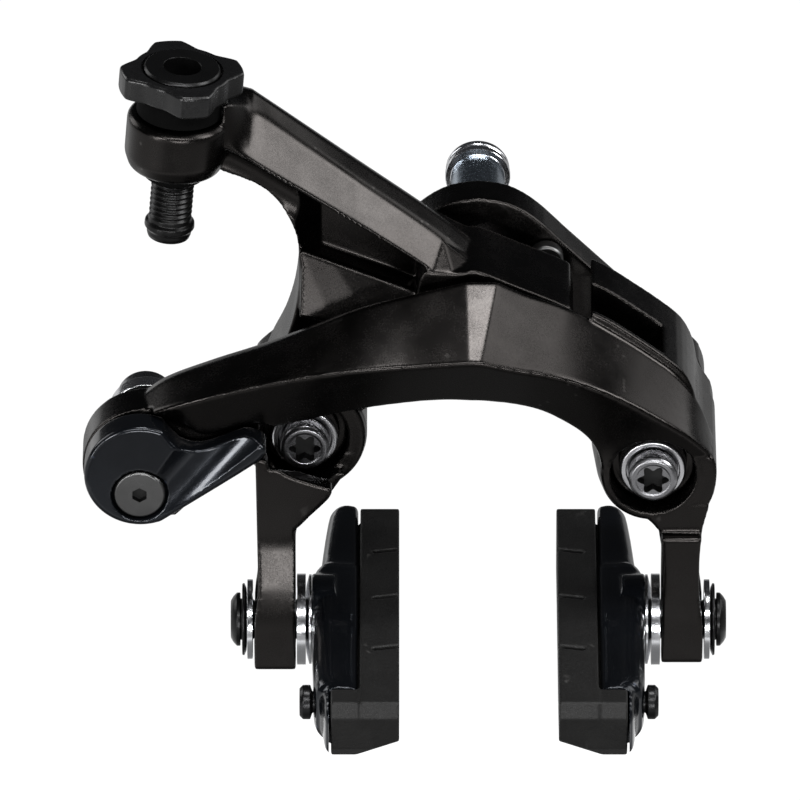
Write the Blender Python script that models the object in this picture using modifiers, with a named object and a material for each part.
"""Dual-pivot rim brake caliper, modelled as separate pieces. Blender 4.5, metres, +Z up.

Shapes are worked out in millimetres from the centre bolt's axis, which lies along Y, with the
mounting face at y = 0. The last section brings them to metres, with the origin RISE above that axis.
-Y is the front, +Y the back and +X the right, the side of the front arm's shoe. "Inner" is
towards x = 0. Outlines are lists of (x, z) unless a comment says otherwise.
"""

import math

import bmesh
import bpy
from mathutils import Matrix, Vector

# ---- driving dimensions, mm; pairs are (x, z) ----
PIVOT_X, PIVOT_Z = 24.3, -19.5
LEFT_PIVOT, RIGHT_PIVOT = (-PIVOT_X, PIVOT_Z), (PIVOT_X, PIVOT_Z)   # both axes lie along Y
EYE_R = 8.7                     # each arm's pivot eye
AXLE_R = 3.0                    # pivot bolt's shank
BUSH_R = 4.2                    # bush in each pivot eye
BORE_GAP = 0.3                  # radial clearance round bolts and bushes
BUSH_BACK = -10.9               # y of both bushes' back ends
BUSH_SETBACK = 5.8              # from a pivot bolt's front face back to its bush
COUNTERBORE_SETBACK = 5.6       # from that face back to the floor of the collar's counterbore
LEFT_BOLT_FACE, RIGHT_BOLT_FACE = -26.0, -35.0      # y of the pivot bolts' front faces
CENTRE_BOLT_R = 3.0
CENTRING_SCREW = (9.5, 1.5)
PIN, PIN_R = (0.0, -1.5), 1.5   # sync pin, which links the two arms
ROLLER_R = 2.4
CLAMP_BOLT = (-46.6, -15.3)
QUICK_RELEASE = (-47.3, -20.3)
SHOE_Y, SHOE_Z = -29.3, -45.0   # shoe bolt's axis, along X
ARM_IN, ARM_OUT = 25.6, 31.4    # pad arm's inner and outer faces, from x = 0
ARM_FRONT, ARM_BACK = -35.3, -24.5
PAD_FACE_X = 11.1               # pad's braking face, at rest
BARREL_TOP = (-41.6, -22.0, 33.0)   # adjuster's axis at the top of its eye, (x, y, z)
BARREL_TILT = math.radians(4.5)     # the adjuster leans out at the bottom, towards the clamp
BARREL_UP = (math.sin(BARREL_TILT), 0, math.cos(BARREL_TILT))
RISE = 5.8                      # the origin's height above the centre bolt's axis
FINE = 0.62                     # share of each round's stated number of sides that is built
MM = 0.001

for old in list(bpy.data.objects):
    bpy.data.objects.remove(old, do_unlink=True)
COLLECTION = bpy.data.collections.new("rim_brake_caliper")
bpy.context.scene.collection.children.link(COLLECTION)


# ---- materials ----
def material(name, colour, roughness, metallic):
    mat = bpy.data.materials.new(name)
    mat.use_nodes = True
    shader = mat.node_tree.nodes["Principled BSDF"]
    shader.inputs["Base Color"].default_value = (*colour, 1.0)
    shader.inputs["Roughness"].default_value = roughness
    shader.inputs["Metallic"].default_value = metallic
    return mat


MATERIALS = {
    "anodised": material("anodised_dark", colour=(0.035, 0.031, 0.03), roughness=0.32, metallic=0.9),
    "gloss": material("gloss_blue_black", colour=(0.012, 0.014, 0.022), roughness=0.15, metallic=0.6),
    "chrome": material("bright_steel", colour=(0.75, 0.76, 0.78), roughness=0.2, metallic=1.0),
    "steel": material("dark_steel", colour=(0.2, 0.2, 0.2), roughness=0.35, metallic=1.0),
    "black": material("black_steel", colour=(0.02, 0.02, 0.02), roughness=0.4, metallic=0.8),
    "plastic": material("black_plastic", colour=(0.03, 0.03, 0.03), roughness=0.45, metallic=0.0),
    "rubber": material("pad_rubber", colour=(0.035, 0.033, 0.032), roughness=0.85, metallic=0.0),
}


# ---- meshes and objects; a shape left with the name "tool" is used up by cut or join ----
def add(name, mesh, mat):
    obj = bpy.data.objects.new(name, mesh)
    COLLECTION.objects.link(obj)
    mesh.materials.append(MATERIALS[mat])
    return obj


def from_bmesh(bm, name="tool", mat="black"):
    mesh = bpy.data.meshes.new(name)
    bm.to_mesh(mesh)
    bm.free()
    return add(name, mesh, mat)


def weld(mesh):
    bm = bmesh.new()
    bm.from_mesh(mesh)
    bmesh.ops.remove_doubles(bm, verts=bm.verts, dist=1e-4)
    bmesh.ops.recalc_face_normals(bm, faces=bm.faces)
    bm.to_mesh(mesh)
    bm.free()


def evaluated_mesh(obj):
    """A new mesh with the object's modifiers and transform applied."""
    bpy.context.view_layer.update()
    depsgraph = bpy.context.evaluated_depsgraph_get()
    depsgraph.update()
    mesh = bpy.data.meshes.new_from_object(obj.evaluated_get(depsgraph), depsgraph=depsgraph)
    mesh.transform(obj.matrix_world)
    return mesh


def bake(obj):
    """Applies a mesh object's modifiers and transform, and keeps its own materials only."""
    mesh = evaluated_mesh(obj)
    materials = list(obj.data.materials)
    obj.modifiers.clear()
    obj.data = mesh
    obj.matrix_world = Matrix.Identity(4)
    mesh.materials.clear()
    for mat in materials:
        mesh.materials.append(mat)
    return obj


def from_curve(curve, matrix, name, mat):
    """A mesh object from a curve placed by the matrix."""
    obj = bpy.data.objects.new(name, curve)
    COLLECTION.objects.link(obj)
    obj.matrix_world = matrix
    mesh = evaluated_mesh(obj)
    bpy.data.objects.remove(obj)
    weld(mesh)
    mesh.materials.clear()
    return add(name, mesh, mat)


def moved(obj, matrix):
    obj.data.transform(matrix)
    return obj


def mirror_in_x(obj):
    moved(obj, Matrix.Diagonal((-1, 1, 1, 1)))
    bm = bmesh.new()
    bm.from_mesh(obj.data)
    bmesh.ops.reverse_faces(bm, faces=bm.faces)
    bm.to_mesh(obj.data)
    bm.free()


def bevel(obj, width):
    mod = obj.modifiers.new("bevel", "BEVEL")
    mod.width = width
    mod.segments = 1
    mod.limit_method = "ANGLE"
    mod.angle_limit = math.radians(35.0)
    mod.use_clamp_overlap = True
    return bake(obj)


def is_closed(mesh):
    bm = bmesh.new()
    bm.from_mesh(mesh)
    closed = bool(bm.faces) and all(len(edge.link_faces) == 2 for edge in bm.edges)
    bm.free()
    return closed


def boolean(target, tool, operation):
    """Cuts or joins, and uses up the tool. MANIFOLD runs only if EXACT leaves an open mesh."""
    before = target.data
    for solver in ("EXACT", "MANIFOLD"):
        target.data = before
        mod = target.modifiers.new(operation, "BOOLEAN")
        mod.operation = operation
        mod.solver = solver
        mod.object = tool
        bake(target)
        if is_closed(target.data):
            break
    bpy.data.objects.remove(tool)


def cut(target, *tools):
    for tool in tools:
        boolean(target, tool, "DIFFERENCE")
    return target


def join(target, *parts):
    for part in parts:
        boolean(target, part, "UNION")
    return target


# ---- shapes ----
def sides(n):
    return n if n <= 8 else max(10, 2 * round(n * FINE / 2))


def aim(point, direction):
    """Places local Z along the direction, from the point."""
    turn = Vector(direction).to_track_quat("Z", "Y").to_matrix().to_4x4()
    return Matrix.Translation(Vector(point)) @ turn


def cyl(start, end, radius, n=24):
    start, end = Vector(start), Vector(end)
    axis = end - start
    bm = bmesh.new()
    bmesh.ops.create_cone(bm, cap_ends=True, segments=sides(n), radius1=radius, radius2=radius,
                          depth=axis.length, matrix=aim((start + end) / 2, axis))
    return from_bmesh(bm)


def cyl_y(at, y0, y1, radius, n=24):
    """A cylinder along Y, with its axis through at, an (x, z)."""
    return cyl((at[0], y0, at[1]), (at[0], y1, at[1]), radius, n)


def box(low, high):
    low, high = Vector(low), Vector(high)
    place = Matrix.Translation((low + high) / 2) @ Matrix.Diagonal((*(high - low), 1.0))
    bm = bmesh.new()
    bmesh.ops.create_cube(bm, size=1.0, matrix=place)
    return from_bmesh(bm)


def half_space(point, normal, size=40.0):
    """A block that fills the side of a plane that its normal points to."""
    block = box((-size, -size, 0), (size, size, size))
    return moved(block, aim(point, Vector(normal).normalized()))


def lathe(profile, origin, direction, n=24, name="tool", mat="black"):
    """A turned piece: profile is (radius, distance along direction), either from axis to axis
    or, when it starts off the axis, a loop that closes on its first point."""
    mesh = bpy.data.meshes.new(name)
    edges = [(i, i + 1) for i in range(len(profile) - 1)]
    if profile[0][0] > 0:
        edges.append((len(profile) - 1, 0))
    mesh.from_pydata([(r, 0, along) for r, along in profile], edges, [])
    obj = add(name, mesh, mat)
    mod = obj.modifiers.new("turn", "SCREW")
    mod.angle = math.tau
    mod.steps = mod.render_steps = sides(n)
    mod.axis = "Z"
    mod.use_merge_vertices = True
    mod.merge_threshold = 0.0001
    obj.matrix_world = aim(origin, direction)
    bake(obj)
    weld(obj.data)
    return obj


def lathe_y(profile, at=(0, 0), n=24, name="tool", mat="steel"):
    """A piece turned about Y through at, an (x, z): profile is (radius, y)."""
    return lathe(profile, (at[0], 0, at[1]), (0, 1, 0), n, name, mat)


def tube_y(name, at, outer, inner, back, front):
    return lathe_y([(outer, back), (outer, front), (inner, front), (inner, back)], at, name=name)


def plate(outline, y0, y1, name="tool", mat="black"):
    """A flat outline (x, z) given thickness from y0 to y1."""
    curve = bpy.data.curves.new(name, "CURVE")
    curve.dimensions = "2D"
    curve.fill_mode = "BOTH"
    curve.extrude = abs(y1 - y0) / 2
    spline = curve.splines.new("POLY")
    spline.points.add(len(outline) - 1)
    for point, (x, z) in zip(spline.points, outline):
        point.co = (x, z, 0, 1)
    spline.use_cyclic_u = True
    place = Matrix.Translation((0, (y0 + y1) / 2, 0)) @ Matrix.Rotation(math.pi / 2, 4, "X")
    return from_curve(curve, place, name, mat)


def side_plate(outline, x0, x1, name="tool", mat="black"):
    """A flat outline (y, z) given thickness from x0 to x1."""
    return moved(plate(outline, -x1, -x0, name, mat), Matrix.Rotation(math.pi / 2, 4, "Z"))


def loft(sections, name="tool", mat="black"):
    """A closed skin through sections that have the same number of points, with flat ends."""
    bm = bmesh.new()
    rings = [[bm.verts.new(p) for p in section] for section in sections]
    count = len(rings[0])
    for a, b in zip(rings, rings[1:]):
        for i in range(count):
            j = (i + 1) % count
            bm.faces.new((a[i], a[j], b[j], b[i]))
    bm.faces.new(rings[0])
    bm.faces.new(rings[-1][::-1])
    bmesh.ops.recalc_face_normals(bm, faces=bm.faces)
    return from_bmesh(bm, name, mat)


def arc(centre, radius, start, end, n):
    """n + 1 points on an arc, angles in degrees, anticlockwise from +X towards +Z."""
    out = []
    for i in range(n + 1):
        angle = math.radians(start + (end - start) * i / n)
        out.append((centre[0] + radius * math.cos(angle), centre[1] + radius * math.sin(angle)))
    return out


def mirror(outline):
    return [(-x, z) for x, z in reversed(outline)]


def cut_corners(corners, sizes):
    """Replaces each corner of a section by two points, one back along each of its edges."""
    out = []
    for i, (corner, size) in enumerate(zip(corners, sizes)):
        corner = Vector(corner)
        for other in (corners[i - 1], corners[(i + 1) % len(corners)]):
            edge = Vector(other) - corner
            out.append(corner + edge.normalized() * min(size, edge.length * 0.45))
    return out


# ---- booster bracket: the rear arch that carries the centre bolt and both pivots ----
BRACKET_TOP = [(0, 10.3), (4, 9.6), (7.8, 7.3), (12.2, 2.9), (19.4, -4.3), (26.4, -11.2),
               (30.6, -15.2)]
BRACKET_UNDER = [(18.2, -22.2), (15.5, -17.5), (10.5, -12.8), (5, -10.4), (0, -9.8)]
BRACKET_THROUGH = (-12, 2)      # y span of its bores


def make_bracket():
    half = BRACKET_TOP + arc(RIGHT_PIVOT, 7.6, 25, -120, 8) + BRACKET_UNDER
    bracket = plate(half + mirror(half[1:-1]), -7.5, -1.8, "booster_bracket", "anodised")
    bevel(bracket, 0.9)
    boss = cyl_y((0, 0), -7.4, -1.5, 8.6, n=36)
    spring_post = cyl_y((-13.0, -9.0), -10.2, -6.5, 1.2, n=12)
    join(bracket, boss, spring_post)
    cut(bracket, cyl_y((0, 0), *BRACKET_THROUGH, CENTRE_BOLT_R + BORE_GAP))
    for pivot in (LEFT_PIVOT, RIGHT_PIVOT):
        cut(bracket, cyl_y(pivot, *BRACKET_THROUGH, AXLE_R + BORE_GAP))
    cut(bracket, cyl_y(CENTRING_SCREW, *BRACKET_THROUGH, 1.8, n=16))


# ---- fixed turned pieces; profiles are (radius, y) ----
CENTRE_BOLT = [(0, 14.0), (2.5, 14.0), (CENTRE_BOLT_R, 13.4), (CENTRE_BOLT_R, -7.8), (5.3, -7.8),
               (5.3, -10.2), (4.9, -10.6), (0, -10.6)]
# sleeve nut with its flange at the back, bored for the bolt
RECESSED_NUT = [(2.9, 21.0), (4.0, 21.0), (4.5, 20.6), (4.5, 19.8), (4.1, 19.4), (4.6, 19.0),
                (4.6, 17.9), (3.8, 17.9), (3.8, 7.6), (3.5, 7.2), (3.3, 7.2), (3.3, 16.4),
                (2.9, 16.8)]
WASHER = [(8.0, 0.0), (8.4, -0.3), (8.4, -1.2), (CENTRE_BOLT_R + BORE_GAP, -1.2),
          (CENTRE_BOLT_R + BORE_GAP, 0.0)]
CENTRING_PROFILE = [(0, -1.0), (1.4, -1.0), (1.4, -7.9), (2.4, -7.9), (2.4, -9.6), (2.1, -9.9),
                    (0, -9.9)]
# heads of the pivot bolts and their collars: (radius, distance behind the bolt's front face)
PIVOT_BOLT_HEAD = [(AXLE_R, 3.0), (3.45, 2.6), (3.45, 0.4), (3.05, 0), (0, 0)]
PIVOT_COLLAR = [(4.65, 5.2), (4.65, 3.1), (4.35, 2.8), (3.75, 2.8), (3.75, 3.3), (3.3, 3.3),
                (3.3, 5.2)]
LOBE_R, LOBE_DEPTH = 1.85, 0.38     # six-lobe socket: mean radius, and its swing


def six_lobes(centre):
    out = []
    for i in range(24):
        angle = math.tau * i / 24
        r = LOBE_R + LOBE_DEPTH * math.cos(6 * angle)
        out.append((centre[0] + r * math.cos(angle), centre[1] + r * math.sin(angle)))
    return out


def make_pivot_bolt(side, pivot, face):
    def from_face(profile):
        return [(r, face + behind) for r, behind in profile]

    shank = [(0, -1.9), (2.6, -1.9), (AXLE_R, -2.3)]
    bolt = lathe_y(shank + from_face(PIVOT_BOLT_HEAD), pivot, name=f"{side}_pivot_bolt")
    cut(bolt, plate(six_lobes(pivot), face - 1, face + 1.8))
    lathe_y(from_face(PIVOT_COLLAR), pivot, n=28, name=f"{side}_pivot_collar", mat="chrome")


def make_fixed():
    bolt = lathe_y(CENTRE_BOLT, name="centre_bolt")
    cut(bolt, cyl_y((0, 0), -12, -8.6, 2.9, n=6))
    lathe_y(RECESSED_NUT, n=28, name="recessed_nut", mat="chrome")
    lathe_y(WASHER, n=32, name="serrated_washer")
    make_pivot_bolt("left", LEFT_PIVOT, LEFT_BOLT_FACE)
    make_pivot_bolt("right", RIGHT_PIVOT, RIGHT_BOLT_FACE)
    screw = lathe_y(CENTRING_PROFILE, CENTRING_SCREW, n=16, name="centring_screw")
    cut(screw, cyl_y(CENTRING_SCREW, -12, -9.0, 1.2, n=6))


# ---- return spring ----
COIL_R, COIL_BACK, COIL_PITCH, COIL_TURNS = 5.6, -8.2, 0.95, 1.6
COIL_START = 0.5        # radians
COIL_STEPS = 44
WIRE_R = 0.42
SPRING_LEG = 6.0        # straight leg at the front end


def make_spring():
    """Torsion spring round the left pivot, with a leg to the bracket's post and one to the arm's."""
    px, pz = LEFT_PIVOT
    points = [(-13.9, COIL_BACK, -7.2)]
    for i in range(COIL_STEPS + 1):
        angle = COIL_START + math.tau * COIL_TURNS * i / COIL_STEPS
        y = COIL_BACK - COIL_PITCH * COIL_TURNS * i / COIL_STEPS
        points.append((px + COIL_R * math.cos(angle), y, pz + COIL_R * math.sin(angle)))
    end_x, end_y, end_z = points[-1]
    points.append((end_x - SPRING_LEG * math.sin(angle), end_y,
                   end_z + SPRING_LEG * math.cos(angle)))
    curve = bpy.data.curves.new("return_spring", "CURVE")
    curve.dimensions = "3D"
    curve.bevel_depth = WIRE_R
    curve.bevel_resolution = 1
    curve.use_fill_caps = True
    spline = curve.splines.new("POLY")
    spline.points.add(len(points) - 1)
    for point, co in zip(spline.points, points):
        point.co = (*co, 1)
    from_curve(curve, Matrix.Identity(4), "return_spring", "steel")


# ---- what both arms share ----
def pad_arm(side, top, bottom):
    """The forward block that carries the shoe, drawn for the left and mirrored for the right."""
    outline = top + [(-25.1, -28.4), (-ARM_IN, -30.5), (-ARM_IN, bottom), (-ARM_OUT, bottom),
                     (-ARM_OUT, -43.0), (-30.9, -38.0), (-31.0, -30.0)]
    if side > 0:
        outline = mirror(outline)
    return bevel(plate(outline, ARM_FRONT, ARM_BACK), 0.8)


def shoe_slot(side):
    """The upright slot that lets the shoe bolt be set higher or lower."""
    outline = arc((SHOE_Y, SHOE_Z + 7.0), 3.3, 0, 180, 8)
    outline += arc((SHOE_Y, SHOE_Z - 1.0), 3.3, 180, 360, 8)
    return side_plate(outline, *sorted((side * 20, side * 36)))


def fit_pivot(arm, name, pivot, face, bore_front):
    """Bores the arm for its bush, sinks the collar's counterbore and makes the bush."""
    cut(arm, cyl_y(pivot, bore_front, -5, BUSH_R + BORE_GAP),
        cyl_y(pivot, bore_front, face + COUNTERBORE_SETBACK, 6.0, n=32))
    tube_y(name, pivot, BUSH_R, AXLE_R + BORE_GAP, BUSH_BACK, face + BUSH_SETBACK)


# ---- rear arm: cable adjuster at its upper end, left pivot, left shoe ----
REAR_LEG_INNER = [
    (-37.4, 23.4), (-35.6, 21.8), (-32.2, 20.4), (-28.8, 18.0), (-26.4, 14.6), (-25.3, 11.0),
    (-25.1, 7.5), (-25.2, 3.5), (-25.8, -0.6), (-27.0, -4.6), (-28.7, -8.2), (-30.4, -12.4)]
REAR_LEG_OUTER = [
    (-14.4, -15.0), (-10.5, -11.5), (-4.0, -9.3), (2.0, -8.7), (8.0, -8.4), (11.9, -6.0),
    (12.7, -3.0), (12.7, -0.5), (9.0, 3.2), (0.0, 7.2), (-6.0, 10.5), (-16, 17.5), (-28.0, 26.0),
    (-38.0, 27.5)]
# raised beam on the front of the leg: top edge x, z, lower edge x, z
REAR_BEAM = [
    (-38.0, 33.2, -38.0, 27.5), (-34.5, 33.9, -34.0, 25.6), (-29.8, 32.5, -29.8, 23.9),
    (-17.2, 22.9, -17.2, 15.0), (-9.0, 17.0, -10.2, 10.0), (-3.9, 12.6, -6.5, 7.8),
    (-1.0, 9.0, -3.2, 6.0)]
REAR_TAIL = [
    (-9.5, 14.5), (-5.5, 12.7), (-2.6, 10.2), (0, 8.4), (5.2, 5.9), (11.8, 2.9), (12.9, 1.6),
    (12.9, -3.2), (9.0, -7.4), (2.0, -7.9), (-6.0, -7.0), (-11.0, -2.0), (-12.5, 8.0)]
REAR_WEB = [(-30.9, -22.0), (-17.5, -22.0), (-21.0, -27.5), (-25.0, -30.0), (-25.6, -33.5),
            (-30.9, -33.5)]
REAR_PAD_ARM_TOP = [(-31.2, -17.6), (-29.9, -17.7), (-26.8, -20.0), (-23.5, -21.3),
                    (-20.6, -22.2), (-20.9, -23.8)]
# cutters, (y, z)
REAR_SCOOP = [(-34.5, -12.0), (-34.5, -18.6), (-32.8, -18.9), (-26.2, -23.4), (-22.9, -24.2),
              (-22.9, -12.0)]
REAR_FRONT_SLOPE = [(-37.0, -40.5), (-35.31, -40.5), (-32.7, -30.5), (-32.7, -12.0),
                    (-37.0, -12.0)]
# adjuster's eye: (radius, height along the barrel's axis)
ADJUSTER_EYE = [(0, -1.3), (6.4, -1.3), (7.1, -2.0), (7.1, -7.4), (6.5, -9.1), (5.5, -9.7),
                (0, -9.7)]
ADJUSTER_BORE_R = 3.35


def axis_point(height):
    """A point on the adjuster's axis, its height measured from the top of the eye."""
    return tuple(top + up * height for top, up in zip(BARREL_TOP, BARREL_UP))


def swing(point, centre, angle):
    """Turns an (x, z) about a centre, clockwise as seen from the front."""
    dx, dz = point[0] - centre[0], point[1] - centre[1]
    return (centre[0] + dx * math.cos(angle) + dz * math.sin(angle),
            centre[1] - dx * math.sin(angle) + dz * math.cos(angle))


def pin_path(low=-6.0, high=14.0, n=10):
    """Where the front arm's pin goes, seen from the rear arm, as both arms turn by the same
    angle, from low to high in degrees."""
    out = []
    for i in range(n + 1):
        angle = math.radians(low + (high - low) * i / n)
        out.append(swing(swing(PIN, RIGHT_PIVOT, angle), LEFT_PIVOT, angle))
    return out


def slot_outline(path, radius):
    """An outline at a set distance round a path, with round ends."""
    points = [Vector((*p, 0)) for p in path]
    offsets = []
    for i in range(len(points)):
        along = (points[min(i + 1, len(points) - 1)] - points[max(i - 1, 0)]).normalized()
        offsets.append(Vector((-along.y, along.x, 0)) * radius)

    def cap(centre, offset):
        start = math.degrees(math.atan2(offset.y, offset.x))
        return arc(centre, radius, start, start - 180, 6)[1:-1]

    one_side = [(p + s).to_2d() for p, s in zip(points, offsets)]
    other_side = [(p - s).to_2d() for p, s in zip(points, offsets)]
    return (one_side + cap(points[-1], offsets[-1])
            + other_side[::-1] + cap(points[0], -offsets[0]))


def rear_beam():
    sections = []
    for top_x, top_z, low_x, low_z in REAR_BEAM:
        corners = [(top_x, -24.6, top_z), (low_x, -25.0, low_z), (low_x + 0.3, -13.5, low_z - 0.6),
                   (top_x - 0.3, -13.5, top_z - 2.6), (top_x, -17.0, top_z - 1.2)]
        sections.append(cut_corners(corners, (1.0, 1.0, 0.8, 0.8, 0.8)))
    return loft(sections)


def make_rear_arm():
    leg = REAR_LEG_INNER + arc(LEFT_PIVOT, EYE_R, 158, 385, 12) + REAR_LEG_OUTER
    arm = bevel(plate(leg, -21.5, -11.0, "rear_arm", "anodised"), 0.8)
    join(arm,
         rear_beam(),
         bevel(plate(REAR_TAIL, -25.0, -11.4), 0.9),
         lathe(ADJUSTER_EYE, axis_point(0), BARREL_UP, n=32),
         bevel(cyl_y(LEFT_PIVOT, -22.8, -10.5, EYE_R - 0.15, n=36), 0.6),
         plate(REAR_WEB, -25.3, -14.5),
         pad_arm(-1, REAR_PAD_ARM_TOP, -49.9))
    # flat top of the adjuster's eye
    cut(arm, cyl(axis_point(-1.3), axis_point(3.0), 6.5, n=28))
    # scoop in front of the pivot eye that frees the bolt head, sloping down towards the back
    cut(arm, side_plate(REAR_SCOOP, -29.4, -15.0))
    # the pad arm's front leans back towards its top
    cut(arm, side_plate(REAR_FRONT_SLOPE, -34.5, -15.0))
    cut(arm, shoe_slot(-1))
    fit_pivot(arm, "rear_arm_bush", LEFT_PIVOT, LEFT_BOLT_FACE, bore_front=-30)
    # the pin's curved slot
    cut(arm, plate(slot_outline(pin_path(), ROLLER_R + 0.12), -30, -8))
    cut(arm, cyl(axis_point(4), axis_point(-18), ADJUSTER_BORE_R))
    spring_post = cyl_y((-17.3, -24.6), -11.5, -9.4, 1.1, n=12)
    join(arm, spring_post)


# ---- front arm: cable clamp and quick release at its left end, right pivot, right shoe ----
# each row: top edge, ridge (the frontmost line) and lower edge, as (x, y, z)
FRONT_ARM = [
    ((-47.0, -29.0, -9.4), (-48.3, -32.6, -11.2), (-47.6, -32.8, -12.6)),
    ((-43.3, -29.0, -6.7), (-44.4, -35.2, -8.3), (-43.9, -34.0, -10.9)),
    ((-36.8, -29.0, -4.0), (-38.9, -36.5, -5.8), (-38.9, -34.5, -12.6)),
    ((-29.9, -29.0, -1.5), (-31.6, -37.0, -3.6), (-31.8, -34.5, -12.0)),
    ((-22.0, -28.5, 1.8), (-24.2, -37.5, -1.8), (-24.2, -34.5, -10.4)),
    ((-16.5, -28.0, 4.0), (-17.0, -38.0, -0.5), (-17.2, -34.3, -8.8)),
    ((-9.6, -27.5, 6.4), (-9.6, -38.2, 0.3), (-9.8, -34.0, -7.8)),
    ((-4.6, -27.2, 7.7), (-4.6, -38.6, 0.7), (-4.6, -34.0, -7.4)),
    ((0.0, -27.0, 8.0), (0.0, -38.9, 0.8), (0.0, -34.0, -7.5)),
    ((6.5, -27.0, 5.9), (5.2, -38.4, -0.3), (4.5, -34.0, -8.0)),
    ((12.7, -27.0, 3.5), (10.2, -37.8, -1.5), (8.4, -34.0, -9.0)),
    ((19.0, -27.0, -0.4), (15.2, -37.3, -3.4), (11.8, -34.0, -10.8)),
    ((24.0, -27.0, -4.0), (19.6, -36.8, -5.7), (14.8, -33.8, -13.2)),
    ((27.8, -27.0, -7.2), (24.0, -36.0, -8.7), (16.5, -33.5, -16.0)),
    ((30.8, -27.0, -11.6), (28.6, -35.0, -12.2), (17.2, -33.5, -19.0)),
    ((32.7, -27.0, -16.8), (32.3, -33.4, -16.2), (18.0, -33.5, -21.6)),
]
FRONT_ARM_BACK = -26.5
LEFT_END_NECK = [(-36.0, -19.6), (-31.6, -15.4), (-30.6, -12.4), (-31.0, -6.5), (-38.0, -6.5)]
SHOULDER_OUTER = [(15.7, 2.9), (18.4, 1.4), (21.9, -1.1), (25.6, -3.9), (28.5, -6.6),
                  (30.1, -10.0), (30.8, -13.6)]
SHOULDER_INNER = [(16.7, -15.6), (15.9, -13.0), (15.7, -9.5)]
FRONT_EYE = [(0, -10.5), (7.9, -10.5), (8.5, -11.1), (8.5, -23.0), (7.9, -30.0), (7.3, -33.2),
             (6.9, -33.6), (0, -33.6)]      # (radius, y)
EYE_SIDE = [(31.8, -16.6), (32.9, -17.4), (33.2, -19.5), (32.8, -22.6), (31.5, -26.1),
            (31.0, -30.1), (26.0, -30.1), (25.2, -16.6)]
FRONT_WEB = [(31.4, -22.0), (19.0, -22.0), (21.5, -27.0), (25.0, -29.6), (25.6, -33.5),
             (30.9, -33.5)]
FRONT_PAD_ARM_TOP = [(-32.2, -24.5), (-30.0, -24.5), (-24.3, -25.5), (-23.6, -26.6)]   # as left
LEVER_SEAT = [(-46, -9.0), (-41.5, -12.0), (-38.5, -13.0), (-35.5, -11.9), (-32.5, -10.7),
              (-29.0, -11.0), (-27.0, -14.0), (-31, -20), (-42, -28)]
LEVER_SEAT_Y = (-45, -33.0)
SYNC_PIN = [(0, -11.1), (2.3, -11.1), (2.3, -12.0), (PIN_R, -12.0), (PIN_R, -31.7), (0, -31.7)]


def front_arm_sections():
    sections = []
    for row in FRONT_ARM:
        top, ridge, low = (Vector(p) for p in row)
        corners = [top, ridge, low, (low.x, FRONT_ARM_BACK, low.z + 1.2),
                   (top.x, FRONT_ARM_BACK, top.z - 0.6)]
        sections.append(cut_corners(corners, (1.0, 0.7, 1.0, 0.8, 0.8)))
    return sections


def left_end():
    """A round eye behind the quick-release lever, with a neck back to the arm."""
    outline = arc((-46.4, -18.2), 8.9, 62, 300, 18) + LEFT_END_NECK
    return bevel(plate(outline, -32.8, -26.7), 0.8)


def shoulder():
    """The deep block that turns down to the right pivot."""
    outline = SHOULDER_OUTER + arc(RIGHT_PIVOT, EYE_R, 20, -90, 9)
    outline += arc(RIGHT_PIVOT, 7.7, -110, -190, 6) + SHOULDER_INNER
    return bevel(plate(outline, -27.2, -11.0), 0.9)


def right_eye():
    eye = lathe_y(FRONT_EYE, RIGHT_PIVOT, n=40)
    return join(eye, bevel(plate(EYE_SIDE, -33.5, -14.6), 0.8))


def shoulder_pocket():
    """Pocket in the top of the shoulder, clearance for the rear arm's tail."""
    place = Matrix.Translation((19.4, 0, -3.4)) @ Matrix.Rotation(math.radians(35), 4, "Y")
    return moved(box((-9.0, -26.2, -1.6), (5.6, -18.2, 9.0)), place)


def make_front_arm():
    arm = loft(front_arm_sections(), "front_arm", "anodised")
    join(arm, left_end(), shoulder(), right_eye(), plate(FRONT_WEB, -29.0, -14.5),
         pad_arm(1, FRONT_PAD_ARM_TOP, -48.7))
    # the pad arm's face steps in below the eye
    cut(arm, box((14.0, -40.0, -28.7), (35.0, -33.58, -20.0)))
    cut(arm, shoe_slot(1))
    # seat in which the lever turns
    cut(arm, cyl_y(QUICK_RELEASE, *LEVER_SEAT_Y, 11.35, n=48), plate(LEVER_SEAT, *LEVER_SEAT_Y))
    cut(arm, shoulder_pocket())
    fit_pivot(arm, "front_arm_bush", RIGHT_PIVOT, RIGHT_BOLT_FACE, bore_front=-45)
    # holes for the quick-release screw, the clamp bolt and the sync pin
    cut(arm, cyl_y(QUICK_RELEASE, -40, -27.6, 2.3, n=20),
        cyl_y(CLAMP_BOLT, -31.5, -20, 2.8, n=20),
        cyl_y(PIN, -32.0, -20, PIN_R + 0.3, n=20))
    lathe_y(SYNC_PIN, PIN, n=20, name="sync_pin")
    tube_y("sync_roller", PIN, ROLLER_R, 1.8, -12.3, -24.6)


# ---- cable clamp and quick release; profiles are (radius, y) ----
CLAMP_BOLT_PROFILE = [(0, -17.6), (3.6, -17.6), (4.0, -18.0), (4.0, -21.8), (2.5, -21.8),
                      (2.5, -31.2), (0, -31.2)]
CLAMP_PLATE_FOOT = [(-50.2, -21.4), (-41.8, -21.4)]
LEVER_HANDLE = [(-42.9, -23.6), (-36.5, -19.2), (-31.0, -15.3), (-30.0, -14.2), (-29.6, -13.3),
                (-30.4, -12.2), (-32.6, -11.6), (-35.5, -12.8), (-38.7, -13.9), (-41.6, -13.2)]
QR_SCREW = [(0, -28.0), (2.05, -28.0), (2.05, -36.7), (3.6, -36.7), (3.6, -37.6), (3.3, -37.8),
            (0, -37.8)]


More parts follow.
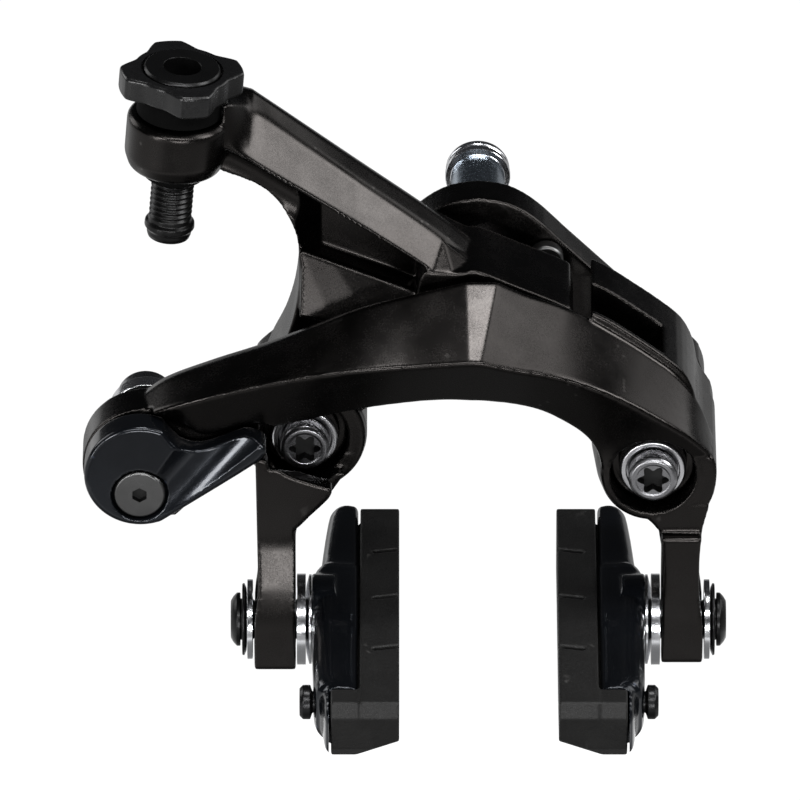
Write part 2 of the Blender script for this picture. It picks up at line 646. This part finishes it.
def make_clamp():
    bolt = lathe_y(CLAMP_BOLT_PROFILE, CLAMP_BOLT, name="cable_clamp_bolt")
    cut(bolt, cyl_y(CLAMP_BOLT, -20.3, -15, 2.2, n=6))
    outline = arc((-46.4, -15.3), 5.3, -60, 240, 18) + CLAMP_PLATE_FOOT
    clamp = bevel(plate(outline, -24.6, -22.1, "cable_clamp_plate", "chrome"), 0.4)
    # bolt hole, and an upright groove in the front face
    cut(clamp, cyl_y(CLAMP_BOLT, -30, -15, 2.8, n=20), box((-43.9, -26, -30), (-42.5, -23.9, 0)))


def make_quick_release():
    outline = arc((-47.2, -17.3), 7.8, 66, 292, 20) + LEVER_HANDLE
    lever = bevel(plate(outline, -38.0, -33.3, "quick_release_lever", "gloss"), 0.7)
    cut(lever, cyl_y(QUICK_RELEASE, -45, -36.4, 3.95, n=28),
        cyl_y(QUICK_RELEASE, -45, -30, 2.35, n=20))
    screw = lathe_y(QR_SCREW, QUICK_RELEASE, name="quick_release_screw")
    cut(screw, cyl_y(QUICK_RELEASE, -40, -36.8, 1.15, n=6))


# ---- cable adjuster; profiles are (radius, height along its axis) ----
KNOB_R, LOBE_HEIGHT = 6.9, 1.75     # knob's radius between its four lobes, and their height
KNOB_HALF_HEIGHT = 1.75
THREAD_R, THREAD_ROOT_R = 3.0, 2.65
THREAD_TOP, THREAD_PITCH, THREAD_TURNS = -10.6, 1.0, 7
BARREL_HEAD = [(5.1, 6.0), (5.4, 5.6), (5.4, 4.4), (THREAD_R, 4.4)]
BARREL_FOOT = [(3.0, -18.0), (3.45, -18.3), (3.5, -19.0), (3.1, -19.5), (3.1, -20.0),
               (2.9, -20.6), (1.3, -20.6), (1.3, -8.0), (2.65, -8.0), (2.65, 6.0)]
SEAL = [(4.3, -10.0), (4.3, -11.0), (3.4, -11.0), (3.4, -10.0)]


def make_knob():
    """Four-lobed knob, a nut that stays on top of its eye."""
    outline = []
    for i in range(40):
        angle = math.tau * i / 40
        wave = math.cos(4 * (angle - math.radians(14)))
        # the wave is clipped flat between the lobes and at their tips
        r = KNOB_R + LOBE_HEIGHT * max(0.0, min(1.0, (wave + 0.75) / 1.35)) ** 1.3
        outline.append((r * math.cos(angle), r * math.sin(angle)))
    knob = plate(outline, -KNOB_HALF_HEIGHT, KNOB_HALF_HEIGHT, "adjuster_knob", "plastic")
    moved(knob, Matrix.Rotation(math.radians(-90), 4, "X"))
    moved(knob, aim(axis_point(3.85), BARREL_UP))
    bevel(knob, 0.5)
    join(knob, cyl(axis_point(-1.0), axis_point(2.6), 5.9, n=28))
    cut(knob, cyl(axis_point(-5), axis_point(9), ADJUSTER_BORE_R),
        cyl(axis_point(4.1), axis_point(9), 5.75, n=32))


def make_adjuster():
    make_knob()
    thread = []
    for i in range(THREAD_TURNS):
        top = THREAD_TOP - THREAD_PITCH * i
        thread += [(THREAD_R, top), (THREAD_ROOT_R, top - 0.35), (THREAD_R, top - 0.7)]
    lathe(BARREL_HEAD + thread + BARREL_FOOT, axis_point(0), BARREL_UP, name="adjuster_barrel")
    lathe(SEAL, axis_point(0), BARREL_UP, name="adjuster_seal", mat="rubber")


# ---- shoes: made for the left, mirrored for the right ----
# turned pieces on the shoe bolt's axis: (radius, distance outwards from x = 0)
SHOE_WASHERS = {
    "inner_convex_washer": ("chrome", [(3.2, 23.6), (6.2, 23.6), (6.2, 23.85), (4.6, 24.3),
                                       (3.2, 24.4)]),
    "inner_concave_washer": ("chrome", [(3.2, 24.7), (4.6, 24.6), (6.4, 24.25), (6.4, 25.35),
                                        (3.2, 25.35)]),
    "outer_concave_washer": ("chrome", [(3.2, 31.65), (5.6, 31.65), (5.6, 32.45), (4.4, 32.25),
                                        (3.2, 32.15)]),
    "outer_convex_washer": ("black", [(3.2, 32.45), (4.4, 32.55), (5.1, 32.85), (5.0, 33.15),
                                      (3.2, 33.15)]),
}
SHOE_PIECES = [*SHOE_WASHERS, "shoe_bolt", "shoe_holder", "brake_pad", "pad_screw"]
SHOE_BOLT = [(0, 20.2), (2.9, 20.2), (2.9, 33.4), (3.75, 33.4), (3.75, 33.9), (3.2, 34.4),
             (2.6, 34.75), (0, 34.75)]
PAD_SCREW_Y = -52.6
PAD_SCREW = [(0, 19.7), (1.5, 19.7), (1.5, 23.2), (2.4, 23.5), (2.4, 24.5), (1.9, 25.0), (0, 25.0)]
# holder stations: y, outer x, half height
HOLDER = [(-61.6, 20.9, 4.0), (-60.4, 21.5, 4.6), (-56.0, 22.0, 4.8), (-53.8, 23.0, 4.9),
          (-42.0, 23.2, 5.1), (-37.0, 23.3, 5.6), (-24.0, 23.3, 5.6), (-21.5, 22.3, 5.1),
          (-12.0, 21.6, 4.9), (-5.2, 21.0, 4.6), (-4.0, 20.4, 4.0)]
HOLDER_INNER_X = 16.9
# pad and its nose: (y, height above the shoe's axis)
PAD = [(-6.2, 4.9), (-6.2, -4.9), (-58.6, -4.9), (-60.4, -2.8), (-62.2, 2.8), (-61.2, 4.9)]
PAD_NOSE = [(-57.0, 4.7), (-57.0, -4.7), (-59.2, -4.7), (-60.9, -2.7), (-61.9, 2.7), (-60.9, 4.7)]
PAD_GROOVES_Y = (-17.9, -31.0, -45.4)
OUTWARDS = (-1, 0, 0)


def on_left(out, y, up=0.0):
    """A point on the left at a distance out from x = 0 and a height above the shoe's axis."""
    return (-out, y, SHOE_Z + up)


def make_holder(name):
    sections = []
    for y, out, half in HOLDER:
        corners = [on_left(HOLDER_INNER_X, y, half * 0.94), on_left(HOLDER_INNER_X, y, -half * 0.94),
                   on_left(out - 2.2, y, -half), on_left(out, y, -half * 0.55),
                   on_left(out, y, half * 0.55), on_left(out - 2.2, y, half)]
        sections.append(cut_corners(corners, (0.5, 0.5, 1.2, 1.2, 1.2, 1.2)))
    holder = loft(sections, name, "gloss")
    join(holder, cyl(on_left(20, SHOE_Y), on_left(23.35, SHOE_Y), 6.4, n=32))
    cut(holder,
        cyl(on_left(26, SHOE_Y), on_left(19.9, SHOE_Y), 3.2),
        # channel for the pad's rail, and the open front end for its nose
        box(on_left(19.4, -59.3, -2.6), on_left(10, -5.0, 2.6)),
        box(on_left(20.9, -70, -8), on_left(10, -56.6, 8)),
        cyl(on_left(26, PAD_SCREW_Y), on_left(19, PAD_SCREW_Y), 1.75, n=16))
    return holder


def make_pad(name):
    outline = [(y, SHOE_Z + up) for y, up in PAD]
    nose = [(y, SHOE_Z + up) for y, up in PAD_NOSE]
    pad = side_plate(outline, -16.6, -PAD_FACE_X, name, "rubber")
    rail = box(on_left(19.1, -58.5, -2.3), on_left(16.0, -6.2, 2.3))
    join(pad, side_plate(nose, -20.6, -15.0), rail)
    # slanting cut across the pad's lower front
    cut(pad, half_space((-17.5, -59.0, -49.9), (14.4, -23.0, -38.4)))
    for y in PAD_GROOVES_Y:
        place = Matrix.Translation(on_left(PAD_FACE_X, y))
        place = place @ Matrix.Rotation(math.radians(12), 4, "Z")
        cut(pad, moved(box((-3.9, -0.4, -9), (3.0, 0.4, 9)), place))
    return bevel(pad, 0.3)


def make_shoe(side):
    prefix = "left_" if side < 0 else "right_"
    axis = (0, SHOE_Y, SHOE_Z)
    made = [lathe(profile, axis, OUTWARDS, 28, prefix + name, mat)
            for name, (mat, profile) in SHOE_WASHERS.items()]
    bolt = lathe(SHOE_BOLT, axis, OUTWARDS, name=prefix + "shoe_bolt")
    cut(bolt, cyl(on_left(40, SHOE_Y), on_left(33.9, SHOE_Y), 1.7, n=6))
    screw = lathe(PAD_SCREW, (0, PAD_SCREW_Y, SHOE_Z), OUTWARDS, 20, prefix + "pad_screw")
    cut(screw, cyl(on_left(30, PAD_SCREW_Y), on_left(24.2, PAD_SCREW_Y), 1.1, n=6))
    made += [bolt, screw, make_holder(prefix + "shoe_holder"), make_pad(prefix + "brake_pad")]
    if side > 0:
        for obj in made:
            mirror_in_x(obj)


# ---- to metres, with each moving piece's origin on its joint's axis ----
# joint: (parent joint, place in mm, pieces); a parent comes before its children
JOINTS = {
    "root": (None, (0, 0, 0), [
        "booster_bracket", "centre_bolt", "recessed_nut", "serrated_washer", "left_pivot_bolt",
        "right_pivot_bolt", "left_pivot_collar", "right_pivot_collar", "return_spring"]),
    "rear": ("root", (-PIVOT_X, 0, PIVOT_Z), ["rear_arm", "rear_arm_bush"]),
    "front": ("root", (PIVOT_X, 0, PIVOT_Z), [
        "front_arm", "front_arm_bush", "sync_pin", "cable_clamp_bolt", "cable_clamp_plate"]),
    "qr": ("front", (QUICK_RELEASE[0], -35, QUICK_RELEASE[1]), [
        "quick_release_lever", "quick_release_screw"]),
    "adj": ("rear", axis_point(0), ["adjuster_knob", "adjuster_barrel", "adjuster_seal"]),
    "lshoe": ("rear", (-28.3, SHOE_Y, SHOE_Z), ["left_" + name for name in SHOE_PIECES]),
    "rshoe": ("front", (28.3, SHOE_Y, SHOE_Z), ["right_" + name for name in SHOE_PIECES]),
    "pin": ("front", (PIN[0], -18, PIN[1]), ["sync_roller"]),
    "centring": ("root", (CENTRING_SCREW[0], -5, CENTRING_SCREW[1]), ["centring_screw"]),
}


def place_piece(obj, joint, at):
    moved(obj, Matrix.Translation(-Vector(at)))
    moved(obj, Matrix.Scale(MM, 4))
    obj.parent = joint
    obj.data.shade_smooth()
    obj.data.set_sharp_from_angle(angle=math.radians(32))


def assemble():
    joints = {}
    for key, (parent, at, names) in JOINTS.items():
        joint = bpy.data.objects.new("axis_" + key, None)
        COLLECTION.objects.link(joint)
        joint.empty_display_size = 0.01
        if parent:
            joint.parent = joints[parent]
            joint.location = (Vector(at) - Vector(JOINTS[parent][1])) * MM
        else:
            joint.location.z = -RISE * MM
        joints[key] = joint
        for name in names:
            place_piece(bpy.data.objects[name], joint, at)
    bpy.context.view_layer.update()


make_bracket()
make_fixed()
make_spring()
make_rear_arm()
make_front_arm()
make_clamp()
make_quick_release()
make_adjuster()
make_shoe(-1)
make_shoe(1)
assemble()
